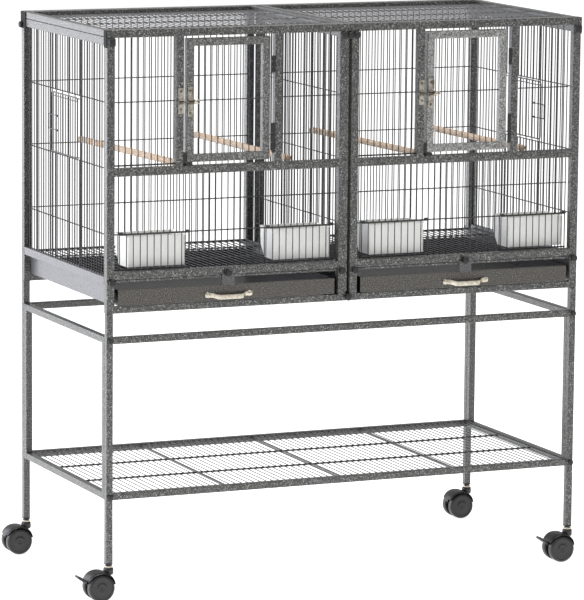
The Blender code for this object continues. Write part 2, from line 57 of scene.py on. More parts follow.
TUBE, GAP = 15.0, 0.3
PANEL_FRONT, PANEL_REAR = -HALF_D + TUBE + GAP, HALF_D - TUBE - GAP
BASE, LOWER_TOP = 526.0, 538.5
TRAY_LOW, TRAY_HIGH = 540.0, 569.0
GRILLE_LOW, GRILLE_HIGH = 582.3, 586.7
BOTTOM_LOW, BOTTOM_HIGH = 587.0, 601.0
MID_LOW, MID_HIGH = 774.0, 789.0
TOP_LOW = 1023.5
LEDGE = -455.2
# Half the slot between the centre posts, then a bay's inner and outer edge.
SLOT, BAY_IN, BAY_OUT = 4.25, 19.25, 460.0
BAY_MID = (BAY_IN + BAY_OUT) / 2
BAYS = {"left": -BAY_MID, "right": BAY_MID}
PITCH = 12.5
WIRE_R = 1.05
CROSS = 1.7  # How far a crossing wire's middle lies from the upright wires' own.
CROSS_ZS = (667.0, 787.0, 906.0)
REAR_CROSS_LOW, FRONT_CROSS_EXTRA = 583.0, 725.0
DOOR_HALF, DOOR_LOW, DOOR_HIGH, DOOR_TUBE = 81.5, 795.0, 1019.0, 14.0
JAMB_LEFT, JAMB_RIGHT = (-101.0, -87.0), (91.5, 105.5)
HINGE_X, HINGE_Y = 87.0, -226.5
LATCH_Z, LATCH_LIP = 905.0, 4.4
PLATE_FRONT, PLATE_BACK, LIP_BACK = -226.8, -225.2, -225.6
HANDLE_Z = 551.0
GATES = ((-208.0, -70.0), (79.0, 216.0))
CUPS = ((-188.0, -74.0), (99.0, 214.0))
GATE_LOW, GATE_HIGH = 602.0, 668.5
CUP_LOW, CUP_HIGH, CUP_FRONT, CUP_BACK = 606.0, 662.0, -204.0, -138.0
PERCHES = ((-95.0, -124.0), (127.0, 112.0))
PERCH_R, PERCH_Z = 6.0, 793.2
NEST_HALF, NEST_LOW, NEST_HIGH = 70.0, 789.6, 902.4
SHELF_LOW, SHELF_HIGH = 184.0, 196.5
STRETCH_LOW, STRETCH_HIGH, BAR = 470.5, 483.0, 12.5
LEG_LOW, WHEEL_R, WHEEL_TRAIL = 64.6, 25.0, 19.0


# ---------------------------------------------------------------- materials

COOL = (1.0, 1.0, 1.04)
NEUTRAL = (1.0, 1.01, 0.97)


def nodes_of(name):
    """A new material with its node tree and its shader."""
    made = bpy.data.materials.new(name)
    made.use_nodes = True
    tree = made.node_tree
    return made, tree, tree.nodes["Principled BSDF"]


def link(tree, a, out, b, into):
    tree.links.new(a.outputs[out], b.inputs[into])


def noise(tree, coords, scale, detail=2.0, rough=0.5, stretch=None):
    made = tree.nodes.new("ShaderNodeTexNoise")
    made.inputs["Scale"].default_value = scale
    made.inputs["Detail"].default_value = detail
    made.inputs["Roughness"].default_value = rough
    if stretch:
        mapping = tree.nodes.new("ShaderNodeMapping")
        mapping.inputs["Scale"].default_value = stretch
        link(tree, coords, "Object", mapping, "Vector")
        link(tree, mapping, "Vector", made, "Vector")
    else:
        link(tree, coords, "Object", made, "Vector")
    return made


def ramp(tree, source, out, stops):
    made = tree.nodes.new("ShaderNodeValToRGB")
    band = made.color_ramp
    while len(band.elements) < len(stops):
        band.elements.new(0.5)
    for element, (at, colour) in zip(band.elements, stops):
        element.position = at
        element.color = (*colour, 1.0)
    link(tree, source, out, made, "Fac")
    return made


def grey(value, tint=(1.0, 1.0, 1.0)):
    """A grey of this value, multiplied by the tint."""
    return tuple(value * t for t in tint)


def bump(tree, shader, source, out, strength, distance):
    made = tree.nodes.new("ShaderNodeBump")
    made.inputs["Strength"].default_value = strength
    made.inputs["Distance"].default_value = distance
    link(tree, source, out, made, "Height")
    link(tree, made, "Normal", shader, "Normal")


def hammertone(name, tones, tint, metal, scale):
    """Crinkled two-tone powder coat: dark valleys and silvery flakes a few millimetres apart."""
    made, tree, shader = nodes_of(name)
    dark, middle, light = tones
    coords = tree.nodes.new("ShaderNodeTexCoord")
    fine = noise(tree, coords, scale, 3.0, 0.6)
    flakes = ramp(tree, fine, "Fac", (
        (0.32, grey(dark, tint)), (0.48, grey(middle, tint)),
        (0.58, grey(middle * 1.8, tint)), (0.72, grey(light, tint)),
    ))
    link(tree, flakes, "Color", shader, "Base Color")
    gloss = ramp(tree, fine, "Fac", ((0.3, grey(0.30)), (0.7, grey(0.46))))
    link(tree, gloss, "Color", shader, "Roughness")
    shader.inputs["Metallic"].default_value = metal
    shader.inputs["Coat Weight"].default_value = 0.35
    shader.inputs["Coat Roughness"].default_value = 0.18
    bump(tree, shader, fine, "Fac", 0.55, 0.0006)
    return made


def nickel(name, low, high):
    """Plated metal with a faint cloud in its tone and fine scratches across it."""
    made, tree, shader = nodes_of(name)
    coords = tree.nodes.new("ShaderNodeTexCoord")
    cloud = noise(tree, coords, 160.0, 4.0)
    tone = ramp(tree, cloud, "Fac", ((0.3, low), (0.7, high)))
    link(tree, tone, "Color", shader, "Base Color")
    scratch = noise(tree, coords, 900.0, 2.0, 0.5, (1.0, 1.0, 0.06))
    rough = ramp(tree, scratch, "Fac", ((0.3, grey(0.20)), (0.7, grey(0.38))))
    link(tree, rough, "Color", shader, "Roughness")
    shader.inputs["Metallic"].default_value = 1.0
    bump(tree, shader, scratch, "Fac", 0.12, 0.0002)
    return made


def plastic(name, low, high, rough, scale, coat=0.0, strength=0.08):
    """Moulded plastic with a fine grain and a slightly uneven gloss."""
    made, tree, shader = nodes_of(name)
    coords = tree.nodes.new("ShaderNodeTexCoord")
    grain = noise(tree, coords, scale, 3.0)
    tone = ramp(tree, grain, "Fac", ((0.3, low), (0.7, high)))
    link(tree, tone, "Color", shader, "Base Color")
    broad = noise(tree, coords, 40.0, 3.0)
    gloss = ramp(tree, broad, "Fac", ((0.3, grey(rough)), (0.7, grey(rough + 0.10))))
    link(tree, gloss, "Color", shader, "Roughness")
    shader.inputs["Coat Weight"].default_value = coat
    bump(tree, shader, grain, "Fac", strength, 0.0002)
    return made


def wood(name):
    """Pale bare wood with its grain running along the y axis."""
    made, tree, shader = nodes_of(name)
    coords = tree.nodes.new("ShaderNodeTexCoord")
    grain = noise(tree, coords, 60.0, 6.0, 0.62, (9.0, 0.55, 9.0))
    tone = ramp(tree, grain, "Fac", (
        (0.30, (0.42, 0.30, 0.20)), (0.48, (0.56, 0.43, 0.32)), (0.72, (0.66, 0.53, 0.41)),
    ))
    link(tree, tone, "Color", shader, "Base Color")
    shader.inputs["Roughness"].default_value = 0.62
    bump(tree, shader, grain, "Fac", 0.25, 0.0004)
    return made


MATERIALS = {
    "hammertone": hammertone("charcoal_hammertone", (0.010, 0.062, 0.55), NEUTRAL, 0.45, 470.0),
    # A lighter copy of the charcoal hammertone: painted highlight, for the right door and the
    # divider's front stile where they catch reflected light.
    "pale": hammertone("painted_highlight_hammertone", (0.030, 0.190, 0.75), NEUTRAL, 0.45, 470.0),
    # A lighter copy of the charcoal hammertone: painted sheen, for the left door's tubes.
    "soft": hammertone("painted_sheen_hammertone", (0.015, 0.095, 0.58), NEUTRAL, 0.45, 470.0),
    "wire": hammertone("wire_coat", (0.010, 0.022, 0.07), COOL, 0.35, 620.0),
    "grid": hammertone("grille_coat", (0.014, 0.030, 0.085), COOL, 0.35, 620.0),
    # Near black for the inside of the tray: painted shade where the pan lies in shadow under the
    # grille.
    "pan": hammertone("tray_painted_shade", (0.003, 0.006, 0.020), COOL, 0.10, 620.0),
    "sheet": hammertone("skirt_hammertone", (0.06, 0.11, 0.26), (1.0, 1.0, 1.08), 0.4, 560.0),
    "tray": hammertone("tray_hammertone", (0.010, 0.050, 0.30), (1.08, 1.0, 0.86), 0.35, 500.0),
    "nickel": nickel("warm_nickel", (0.42, 0.38, 0.30), (0.70, 0.65, 0.56)),
    # A darker copy of the warm nickel: painted shade on the latch and keeper plates.
    "plate": nickel("painted_shade_nickel", (0.24, 0.22, 0.18), (0.50, 0.47, 0.41)),
    "bolt": nickel("shaded_nickel", (0.08, 0.07, 0.055), (0.24, 0.21, 0.17)),
    "black": plastic("black_plastic", grey(0.005), grey(0.011), 0.40, 700.0, 0.05),
    "matte": plastic("matte_bracket", grey(0.010), grey(0.020), 0.85, 700.0),
    "caster": plastic("caster_plastic", grey(0.006), grey(0.016), 0.34, 600.0, 0.15),
    "white": plastic(
        "cup_plastic", (0.90, 0.90, 0.87), (0.95, 0.95, 0.93), 0.34, 120.0, 0.15, 0.04),
    "wood": wood("perch_wood"),
    "tongue": hammertone("tongue_plate", (0.02, 0.07, 0.26), COOL, 0.45, 480.0),
}


# ---------------------------------------------------------------- shapes

class Shape:
    """Points and faces of one piece, in the cage's millimetres, with a material per face."""

    def __init__(self, kind="hammertone"):
        self.points = []
        self.faces = []
        self.kinds = []
        self.slots = [kind]

    def put(self, points, faces, kind=None):
        """Adds points and faces, in the piece's first kind unless another is named."""
        kind = kind or self.slots[0]
        if kind not in self.slots:
            self.slots.append(kind)
        start = len(self.points)
        self.points.extend(tuple(float(v) for v in p) for p in points)
        self.faces.extend([start + i for i in face] for face in faces)
        self.kinds.extend([self.slots.index(kind)] * len(faces))

    def loft(self, rings, kind=None, caps=True, closed=False):
        """A skin over rings of the same number of points."""
        n = len(rings[0])
        points = [p for ring in rings for p in ring]
        faces = []
        last = len(rings) if closed else len(rings) - 1
        for r in range(last):
            a, b = r * n, (r + 1) % len(rings) * n
            for i in range(n):
                j = (i + 1) % n
                faces.append([a + i, a + j, b + j, b + i])
        if caps and not closed:
            faces.append(list(range(n))[::-1])
            faces.append(list(range((len(rings) - 1) * n, len(rings) * n)))
        self.put(points, faces, kind)

    def bar(self, x0, x1, y0, y1, z0, z1, edge=1.3, kind=None):
        """A box whose long edges are rounded and whose ends are eased."""
        low, high = np.array((x0, y0, z0), float), np.array((x1, y1, z1), float)
        size = high - low
        a = int(size.argmax())
        u, v = (a + 1) % 3, (a + 2) % 3
        edge = min(edge, size[u] * 0.45, size[v] * 0.45)
        ease = min(edge * 0.6, size[a] * 0.2)
        steps = 3

        def ring(at, inset):
            made = []
            r = max(edge - inset, 0.01)
            for cu, cv, turn in (
                (high[u], high[v], 0), (low[u], high[v], 90),
                (low[u], low[v], 180), (high[u], low[v], 270),
            ):
                mu = cu - (edge if cu == high[u] else -edge)
                mv = cv - (edge if cv == high[v] else -edge)
                for i in range(steps + 1):
                    t = math.radians(turn + 90 * i / steps)
                    p = [0.0, 0.0, 0.0]
                    p[a] = at
                    p[u] = mu + r * math.cos(t)
                    p[v] = mv + r * math.sin(t)
                    made.append(tuple(p))
            return made

        self.loft([
            ring(low[a], ease), ring(low[a] + ease, 0.0),
            ring(high[a] - ease, 0.0), ring(high[a], ease),
        ], kind)

    def path(self, points, radius, sides=8, kind=None, closed=False):
        """A round rod along points."""
        line = [np.array(p, float) for p in points]
        count = len(line)
        rings = []
        side = None
        for i, p in enumerate(line):
            if closed:
                along = line[(i + 1) % count] - line[i - 1]
            else:
                along = line[min(i + 1, count - 1)] - line[max(i - 1, 0)]
            along = along / np.linalg.norm(along)
            if side is None:
                guide = np.array((0.0, 0.0, 1.0)) if abs(along[2]) < 0.8 else np.array((1.0, 0, 0))
                side = np.cross(along, guide)
            side = side - along * side.dot(along)
            side = side / np.linalg.norm(side)
            other = np.cross(along, side)
            ring = []
            for k in range(sides):
                t = 2 * math.pi * k / sides
                ring.append(p + radius * (math.cos(t) * side + math.sin(t) * other))
            rings.append(ring)
        self.loft(rings, kind, not closed, closed)

    def wire(self, a, b, radius=WIRE_R, sides=8, kind="wire"):
        self.path((a, b), radius, sides, kind)

    def turned(self, centre, axis, profile, sides, kind=None):
        """A body turned about an axis ('x', 'y' or 'z'): profile is (along, radius) pairs."""
        a = "xyz".index(axis)
        u, v = (a + 1) % 3, (a + 2) % 3
        rings = []
        for along, radius in profile:
            ring = []
            for k in range(sides):
                t = 2 * math.pi * k / sides
                p = list(centre)
                p[a] += along
                p[u] += radius * math.cos(t)
                p[v] += radius * math.sin(t)
                ring.append(p)
            rings.append(ring)
        self.loft(rings, kind)

    def mirror_x(self):
        """The same shape on the cage's other side, mirrored."""
        self.points = [(-x, y, z) for x, y, z in self.points]
        self.faces = [face[::-1] for face in self.faces]
        return self

    def half_turn(self):
        """The same shape on the cage's other side, turned round."""
        self.points = [(-x, -y, z) for x, y, z in self.points]
        return self

    def done(self, name, body, replaces=()):
        """Makes the mesh object, lets it ride its body and hides the CAD solids it stands for."""
        mesh = bpy.data.meshes.new(name)
        points = [((x + CAGE_X) * MM, (y + CAGE_Y) * MM, z * MM) for x, y, z in self.points]
        mesh.from_pydata(points, [], self.faces)
        for kind in self.slots:
            mesh.materials.append(MATERIALS[kind])
        mesh.polygons.foreach_set("material_index", self.kinds)
        mesh.polygons.foreach_set("use_smooth", [True] * len(self.faces))
        work = bmesh.new()
        work.from_mesh(mesh)
        bmesh.ops.recalc_face_normals(work, faces=work.faces)
        work.to_mesh(mesh)
        work.free()
        mesh.set_sharp_from_angle(angle=math.radians(50))
        piece = bpy.data.objects.new(name, mesh)
        bpy.context.scene.collection.objects.link(piece)
        normals = piece.modifiers.new("normals", "WEIGHTED_NORMAL")
        normals.keep_sharp = True
        normals.weight = 80
        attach(piece, body)
        if replaces:
            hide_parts(*replaces)


def spread(low, high, pitch=PITCH):
    """Even places between low and high, without the ends, about a pitch apart."""
    gaps = max(2, round((high - low) / pitch))
    return [low + (high - low) * i / gaps for i in range(1, gaps)]


def bend(points, radius, steps=4):
    """The path with each inner corner rounded to about the radius."""
    line = [np.array(p, float) for p in points]
    made = [line[0]]
    for before, at, after in zip(line, line[1:], line[2:]):
        a = before - at
        b = after - at
        cut = min(radius, np.linalg.norm(a) * 0.49, np.linalg.norm(b) * 0.49)
        start = at + a / np.linalg.norm(a) * cut
        stop = at + b / np.linalg.norm(b) * cut
        for i in range(steps + 1):
            t = i / steps
            made.append((1 - t) ** 2 * start + 2 * t * (1 - t) * at + t * t * stop)
    made.append(line[-1])
    return made


def strap(shape, path, half_width, thick, across, kind=None):
    """A flat strip swept along a path, its width lying along the unit vector across."""
    line = [np.array(p, float) for p in path]
    across = np.array(across, float)
    rings = []
    for i, p in enumerate(line):
        along = line[min(i + 1, len(line) - 1)] - line[max(i - 1, 0)]
        along = along / np.linalg.norm(along)
        out = np.cross(along, across)
        ring = []
        for a, b in (
            (-1.0, -0.5), (-0.8, -1.0), (0.8, -1.0), (1.0, -0.5),
            (1.0, 0.5), (0.8, 1.0), (-0.8, 1.0), (-1.0, 0.5),
        ):
            ring.append(p + across * half_width * a + out * thick / 2 * b)
        rings.append(ring)
    shape.loft(rings, kind)


def knob(shape, at, facing, radius=6.2, depth=8.5):
    """A black thumb knob with six grip flutes. facing is 'x', '-x', 'y' or '-y'."""
    sign = -1.0 if facing[0] == "-" else 1.0
    a = "xyz".index(facing[-1])
    u, v = (a + 1) % 3, (a + 2) % 3
    rings = []
    for along, scale, flute in (
        (0.0, 0.62, 0.0), (1.6, 0.66, 0.0), (2.0, 0.92, 0.3), (2.8, 1.0, 1.0),
        (depth - 2.2, 1.0, 1.0), (depth - 0.9, 0.90, 0.5), (depth, 0.62, 0.0),
    ):
        ring = []
        for k in range(36):
            t = 2 * math.pi * k / 36
            r = radius * scale * (1 + 0.055 * flute * math.cos(6 * t))
            p = list(at)
            p[a] += sign * along
            p[u] += r * math.cos(t)
            p[v] += r * math.sin(t)
            ring.append(p)
        rings.append(ring)
    shape.loft(rings, "black")


# ---------------------------------------------------------------- cage walls

def wall_posts(shape, y0, y1):
    """The outer posts, twin centre posts and long rails that front and rear share."""
    inset = 0.15
    for side in (-1, 1):
        outer = sorted((side * BAY_OUT, side * HALF_W))
        inner = sorted((side * SLOT, side * BAY_IN))
        shape.bar(outer[0], outer[1], y0, y1, BASE, TOP)
        shape.bar(inner[0], inner[1], y0, y1, LOWER_TOP - 1, TOP_LOW + 1)
    shape.bar(-BAY_OUT - 1, BAY_OUT + 1, y0 + inset, y1 - inset, TOP_LOW, TOP - inset)
    shape.bar(-BAY_OUT - 1, BAY_OUT + 1, y0 + inset, y1 - inset, BASE + inset, LOWER_TOP)


def front_frame():
    """Posts, rails and door jambs, with a black stop at each door's lower left corner."""
    y0, y1 = -HALF_D, -HALF_D + TUBE
    shape = Shape()
    wall_posts(shape, y0, y1)
    for side in (-1, 1):
        bay = sorted((side * (BAY_IN - 1), side * (BAY_OUT + 1)))
        shape.bar(bay[0], bay[1], y0 + 0.15, y1 - 0.15, MID_LOW, MID_HIGH)
        shape.bar(bay[0], bay[1], y0 + 0.15, y1 - 0.15, BOTTOM_LOW, BOTTOM_HIGH)
    for middle in BAYS.values():
        for low, high in (JAMB_LEFT, JAMB_RIGHT):
            shape.bar(middle + low, middle + high, y0 + 0.3, y1 - 0.3, MID_HIGH - 1, TOP_LOW + 1)
        stop, foot = middle + JAMB_LEFT[1] - 0.4, MID_HIGH - 0.5
        shape.bar(stop, stop + 4.4, y0 - 1.2, y0 + 9, foot, MID_HIGH + 24, 0.8, "black")
        shape.bar(stop, stop + 17.0, y0 - 1.2, y0 + 9, foot, DOOR_LOW - 0.7, 0.8, "black")
    shape.done("front_frame_tubes", "cage", ["front_frame"])


def front_wires(bay):
    """Upright wires that stop at the door and at the two feeder gates, and their cross wires."""
    middle = BAYS[bay]
    y = PANEL_FRONT + WIRE_R
    yc = y + CROSS
    low, high = BOTTOM_LOW + 2.5, TOP_LOW + 1
    left, right = middle - 219.5, middle + 219.5
    door = (middle + JAMB_LEFT[1] - 4, middle + JAMB_RIGHT[0] + 4)
    openings = [(middle + a, middle + b) for a, b in GATES]
    shape = Shape("wire")
    for x in spread(left, right):
        bottom, top = low, high
        if door[0] < x < door[1]:
            top = MID_LOW + 9
        for a, b in openings:
            if a - 1 < x < b + 1:
                bottom = CROSS_ZS[0] - 1
        shape.wire((x, y, bottom), (x, y, top))
    for edge in sorted([e for gate in openings for e in gate]):
        shape.wire((edge, y, low), (edge, y, CROSS_ZS[0] + 1))
    shape.wire((left, yc, CROSS_ZS[0]), (right, yc, CROSS_ZS[0]), 1.25)
    shape.wire((left, yc, FRONT_CROSS_EXTRA), (right, yc, FRONT_CROSS_EXTRA))
    shape.wire((left, yc, MID_LOW + 7), (right, yc, MID_LOW + 7))
    shape.wire((left, yc, CROSS_ZS[2]), (door[0], yc, CROSS_ZS[2]))
    shape.wire((door[1], yc, CROSS_ZS[2]), (right, yc, CROSS_ZS[2]))
    rod_y, rod_z = -HALF_D + 8, MID_HIGH + 4
    shape.wire((left, rod_y, rod_z), (middle + JAMB_LEFT[0] + 1, rod_y, rod_z), 1.5)
    (a0, a1), (b0, b1) = openings
    for start, stop in ((left, a0), (a1, b0), (b1, right)):
        shape.wire((start, yc, low + 3), (stop, yc, low + 3))
    shape.done("front_wire_panel_" + bay, "cage", ["front_wires_" + bay])


def rear_panel():
    y0, y1 = HALF_D - TUBE, HALF_D
    y = y0 + 2.0
    shape = Shape()
    wall_posts(shape, y0, y1)
    for side in (-1, 1):
        bay = sorted((side * BAY_IN, side * BAY_OUT))
        for x in spread(bay[0], bay[1]):
            shape.wire((x, y, LOWER_TOP - 1), (x, y, TOP_LOW + 1))
        for z in (REAR_CROSS_LOW,) + CROSS_ZS:
            shape.wire((bay[0] - 1, y - CROSS, z), (bay[1] + 1, y - CROSS, z))
    shape.done("rear_wall_panel", "cage", ["rear_panel"])


def side_panel():
    """The left wall: top rail, folded skirt with its two ledges, and wires round the nest door."""
    x0, x1 = -HALF_W, -HALF_W + 12
    y0, y1 = PANEL_FRONT, PANEL_REAR
    wire = x0 + 6.0
    low, high = 591.0, 1010.5
    shape = Shape()
    shape.bar(x0, x1, y0, y1, 1009.5, 1024.7)
    shape.bar(x0, x1, y0, y1, 577.0, 592.0, 1.3, "sheet")
    shape.bar(x0 + 1.0, x0 + 15.0, y0 + 0.2, y1 - 0.2, 577.0, 578.5, 0.4, "sheet")
    shape.bar(x0 + 13.5, x0 + 15.0, y0, y1, 540.0, 578.0, 0.4, "sheet")
    shape.bar(x0 + 13.6, LEDGE, y0, y1, 558.4, 560.2, 0.4, "sheet")
    shape.bar(x0 + 1.0, LEDGE, y0, y1, 580.0, 581.9, 0.4, "sheet")
    for y in spread(y0 + 1, y1 - 1):
        if abs(y) > NEST_HALF + 7:
            shape.wire((wire, y, low), (wire, y, high))
        elif abs(y) < NEST_HALF:
            shape.wire((wire, y, low), (wire, y, CROSS_ZS[1] + 1))
            shape.wire((wire, y, CROSS_ZS[2] - 1), (wire, y, high))
    for y in (y0 + 1.2, -NEST_HALF - 4, NEST_HALF + 4, y1 - 1.2):
        shape.wire((wire, y, low), (wire, y, high))
    for z in CROSS_ZS:
        shape.wire((wire + CROSS, y0, z), (wire + CROSS, y1, z), 1.15)
    return shape


def side_panels():
    side_panel().done("side_wall_left", "cage", ["side_panel_left"])
    side_panel().half_turn().done("side_wall_right", "cage", ["side_panel_right"])


def nest_door():
    """Wire door with rounded corners, two hinge eyes and a sprung wire catch."""
    x = -472.7
    e = NEST_HALF - 1.3
    low, high = NEST_LOW + 1.3, NEST_HIGH - 1.3
    shape = Shape("wire")
    ring = bend([
        (x, 0, low), (x, e, low), (x, e, high), (x, -e, high), (x, -e, low), (x, 0, low),
    ], 7.0, 5)
    shape.path(ring[:-1], 1.3, 8, "wire", True)
    for y in spread(-NEST_HALF, NEST_HALF):
        shape.wire((x, y, low - 0.5), (x, y, high + 0.5), 0.95)
    shape.wire((x + 0.2, -e, high - 6.5), (x + 0.2, e, high - 6.5), 0.95)
    for z in (low + 1.0, high - 1.0):
        eye = []
        for k in range(12):
            t = 2 * math.pi * k / 12
            eye.append((x + 2.0 * math.sin(t) + 0.6, -e - 1.8 + 2.8 * math.cos(t), z))
        shape.path(eye, 0.9, 6, "black", True)
    catch_low, catch_high, catch_x = 831.3, 858.3, x - 0.4
    loop = bend([
        (catch_x, 36.0, catch_low), (catch_x, 82.5, catch_low),
        (catch_x, 82.5, catch_high), (catch_x, 36.0, catch_high),
    ], 4.0, 4)
    shape.path(loop, 0.95, 8, "wire")
    sleeve = ((-4, 1.5), (-3, 1.9), (3, 1.9), (4, 1.5))
    for z in (catch_low, catch_high):
        shape.turned((catch_x, 38.0, z), "y", sleeve, 12, "black")
    return shape


def nest_doors():
    nest_door().done("nest_wire_door_left", "nest_left", ["nest_door_left"])
    nest_door().half_turn().done("nest_wire_door_right", "nest_right", ["nest_door_right"])


def roof():
    """The left roof panel: a frame, wires from front to rear, and three thicker ones across."""
    y0, y1 = PANEL_FRONT, PANEL_REAR
    z0, z1 = 1025.0, 1037.6
    z = 1031.0
    left, right = -HALF_W, -SLOT
    shape = Shape()
    shape.bar(left, left + 12, y0, y1, z0, z1)
    shape.bar(right - 12, right, y0, y1, z0, z1)
    shape.bar(left + 1, right - 1, y0 + 0.15, y0 + 6, z0 + 0.1, z1 - 0.1)
    shape.bar(left + 1, right - 1, y1 - 6, y1 - 0.15, z0 + 0.1, z1 - 0.1)
    for x in spread(left + 12, right - 12):
        shape.wire((x, y0 + 1, z), (x, y1 - 1, z))
    for y in (-108.0, 0.0, 108.0):
        shape.wire((left + 11, y, z - CROSS), (right - 11, y, z - CROSS), 1.2)
    return shape


def roofs():
    roof().done("roof_panel_left", "cage", ["roof_left"])
    roof().mirror_x().done("roof_panel_right", "cage", ["roof_right"])


def divider():
    """The wire wall between the bays, with a long black pull knob at its front."""
    y0, y1, z0, z1 = -216.0, 209.0, 541.5, 1022.0
    shape = Shape()
    # The front stile is drawn in the lighter copy of the charcoal: a painted highlight on its lit
    # face.
    shape.bar(-3, 3, y0, y0 + 10, z0, z1, 1.0, "pale")
    shape.bar(-3, 3, y1 - 10, y1, z0, z1, 1.0)
    shape.bar(-2.9, 2.9, y0 + 9, y1 - 9, z0 + 0.1, z0 + 12, 1.0)
    shape.bar(-2.9, 2.9, y0 + 9, y1 - 9, z1 - 12, z1 - 0.1, 1.0)
    for y in spread(y0 + 10, y1 - 10):
        shape.wire((0, y, z0 + 11), (0, y, z1 - 11))
    for z in CROSS_ZS:
        shape.wire((1.5, y0 + 9, z), (1.5, y1 - 9, z))
    knob(shape, (0.0, -216.5, 1016.5), "-y", 6.4, 17.5)
    shape.done("divider_panel", "divider", ["divider"])


def centre_runner():
    """Folded sheet under the divider, with a shelf to each side for the two grilles."""
    y0, y1 = PANEL_FRONT, PANEL_REAR
    shape = Shape("sheet")
    shape.bar(-40.0, 40.0, y0, y1, 537.5, 539.3, 0.4)
    for side in (-1, 1):
        web = sorted((side * 5.5, side * 7.0))
        shelf = sorted((side * 5.6, side * 36.0))
        shape.bar(web[0], web[1], y0 + 0.1, y1 - 0.1, 538.0, 581.8, 0.4)
        shape.bar(shelf[0], shelf[1], y0, y1, 580.0, 581.9, 0.4)
    shape.done("centre_runner_sheet", "cage", ["centre_runner"])


# ---------------------------------------------------------------- trays and grilles

def floor_grille(bay):
    """Wire floor with a folded pull tongue, and a knob on the rail in front of it."""
    middle = BAYS[bay]
    z0, z1 = GRILLE_LOW, GRILLE_HIGH
    half, y0, y1 = 218.5, -HALF_D + 0.5, 205.0
    z = z0 + 2.2
    shape = Shape()
    left, right = middle - half, middle + half
    shape.bar(left, right, y0, y0 + 5, z0, z1, 0.8)
    shape.bar(left, right, y1 - 4, y1, z0, z1, 0.8)
    shape.bar(left, left + 4, y0 + 4, y1 - 3, z0 + 0.1, z1 - 0.1, 0.8)
    shape.bar(right - 4, right, y0 + 4, y1 - 3, z0 + 0.1, z1 - 0.1, 0.8)
    for x in spread(left + 4, right - 4):
        shape.wire((x, y0 + 4, z + 1.1), (x, y1 - 3, z + 1.1), 1.1, 8, "grid")
    for y in (-120.0, 0.0, 120.0):
        shape.wire((left + 3, y, z - 0.6), (right - 3, y, z - 0.6), 1.4, 8, "grid")
    tongue_x, tongue_y, tongue_z = middle + 0.5, -226.4, 583.2
    tongue = bend([
        (tongue_x, y0 + 4, tongue_z), (tongue_x, tongue_y, tongue_z),
        (tongue_x, tongue_y, TRAY_HIGH),
    ], 2.0, 3)
    strap(shape, tongue, 12.5, 1.4, (1.0, 0.0, 0.0), "tongue")
    shape.bar(middle - 12.0, middle + 13.0, -227.2, -225.7, 567.8, 588.5, 0.5, "tongue")
    knob(shape, (middle - 0.4, -226.8, 590.3), "-y", 6.4, 8.0)
    shape.done("floor_grille_panel_" + bay, "grille_" + bay, ["floor_grille_" + bay])


def tray(bay):
    """Slide-out pan: front face with a folded top, floor, hemmed walls and an outer lip."""
    middle = BAYS[bay]
    half, y0, y1 = 213.5, -HALF_D + 0.8, 204.0
    z0 = TRAY_LOW
    left, right = middle - half, middle + half
    shape = Shape("tray")
    shape.bar(left, right, y0, y0 + 1.5, z0, TRAY_HIGH - 0.6, 0.5)
    shape.bar(left, right, y0 + 0.05, y0 + 9.0, TRAY_HIGH - 1.6, TRAY_HIGH, 0.6)
    # The floor, walls and hems inside use the near black copy: painted shade for the shadowed
    # inside of the pan.
    shape.bar(left + 0.2, right - 0.2, y0 + 0.5, y1 - 0.5, z0, z0 + 1.4, 0.4, "pan")
    shape.bar(left + 0.1, left + 1.5, y0 + 1, y1, z0 + 0.2, TRAY_HIGH - 1.4, 0.4, "pan")
    shape.bar(right - 1.5, right - 0.1, y0 + 1, y1, z0 + 0.2, TRAY_HIGH - 1.4, 0.4, "pan")
    shape.bar(left, right, y1 - 1.5, y1, z0 + 0.1, TRAY_HIGH - 1.4, 0.4, "pan")
    lip = (left - 4.8, left + 1.0) if bay == "left" else (right - 1.0, right + 4.8)
    shape.bar(lip[0], lip[1], y0 + 18, y1, 560.5, 562.0, 0.4)
    hem = TRAY_HIGH - 1.6
    for x in (left + 1.7, right - 1.7):
        shape.path(((x, y0 + 3, hem), (x, y1 - 1.5, hem)), 1.6, 8, "pan")
    shape.path(((left + 1.7, y1 - 1.7, hem), (right - 1.7, y1 - 1.7, hem)), 1.6, 8, "pan")
    shape.done("tray_pan_" + bay, "tray_" + bay, ["tray_" + bay])


def tray_handle(bay):
    """Bent strap between two round screwed feet."""
    middle = BAYS[bay] + 2.0
    back = -HALF_D + 0.6
    shape = Shape("nickel")
    arch = bend([
        (middle - 46.0, back - 1.2, HANDLE_Z), (middle - 32.0, back - 1.6, 550.6),
        (middle - 24.0, back - 12.0, 547.6), (middle + 24.0, back - 12.0, 547.6),
        (middle + 32.0, back - 1.6, 550.6), (middle + 46.0, back - 1.2, HANDLE_Z),
    ], 6.5, 5)
    strap(shape, arch, 4.3, 2.3, (0.0, 0.0, 1.0))
    for side in (-1, 1):
        at = (middle + side * 41.5, back, HANDLE_Z)
        shape.turned(at, "y", ((0.2, 5.4), (-1.8, 5.4), (-2.6, 4.7), (-2.8, 3.3)), 20)
        shape.turned(at, "y", ((-2.2, 2.9), (-3.5, 2.8), (-4.2, 2.0), (-4.4, 0.6)), 16)
    shape.done("tray_pull_" + bay, "tray_" + bay, ["tray_handle_" + bay])


# ---------------------------------------------------------------- doors

